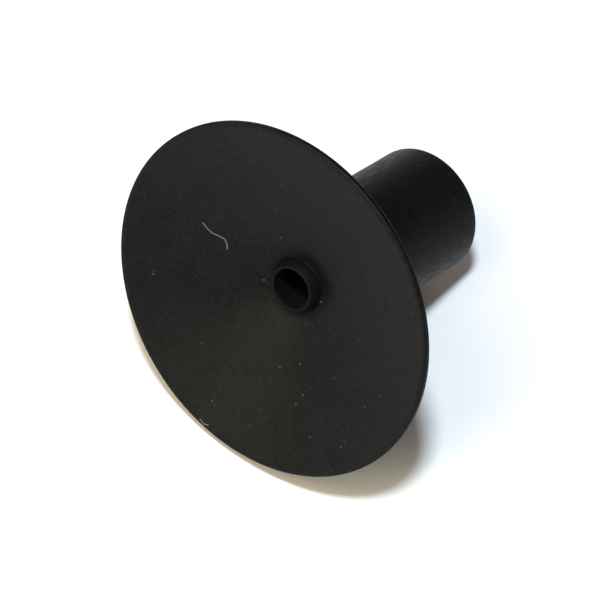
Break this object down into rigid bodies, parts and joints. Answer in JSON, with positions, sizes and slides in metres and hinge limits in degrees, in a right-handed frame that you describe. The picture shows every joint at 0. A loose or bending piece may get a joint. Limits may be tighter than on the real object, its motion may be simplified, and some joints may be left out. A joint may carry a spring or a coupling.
{
  "type": "plunger head",
  "caption": "Small rubber plunger head: a shallow conical suction cup with a vent hole, on a round neck that grips the end of a handle.",
  "frame": {"origin": "centre of the neck's rear face, where the handle goes in", "axes": "+Z along the axis, out of the cup's mouth"},
  "size_m": [0.03, 0.03, 0.0215],
  "materials": {
    "rubber": "matt black moulded rubber",
    "vent_tube": "matt black hard rubber",
    "bush": "satin black moulded plastic"
  },
  "bodies": {
    "neck": {"neck_sleeve": "rubber", "neck_flex": "rubber", "handle_bush": "bush"},
    "hub": {"cup_hub": "rubber", "vent_tube": "vent_tube"},
    "web_inner": {"web_inner": "rubber"},
    "web_outer": {"web_outer": "rubber"},
    "lip": {"sealing_lip": "rubber"}
  },
  "joints": [
    {"name": "neck_bend", "type": "hinge", "parent": "neck", "child": "hub", "pos_m": [0, 0, 0.0127], "axis": [1, 0, 0], "range_deg": [-12, 12], "stiffness_Nm_per_rad": 0.1, "deforming": ["neck_flex"]},
    {"name": "lip_press", "type": "slide", "parent": "hub", "child": "lip", "axis": [0, 0, -1], "range_m": [0, 0.0015], "stiffness_N_per_m": 1500},
    {"name": "web_outer_press", "type": "slide", "parent": "hub", "child": "web_outer", "axis": [0, 0, -1], "range_m": [0, 0.001]},
    {"name": "web_inner_press", "type": "slide", "parent": "hub", "child": "web_inner", "axis": [0, 0, -1], "range_m": [0, 0.0005]}
  ],
  "couplings": [
    {"joint": "web_outer_press", "follows": "lip_press", "ratio": 0.66667},
    {"joint": "web_inner_press", "follows": "lip_press", "ratio": 0.33333}
  ]
}
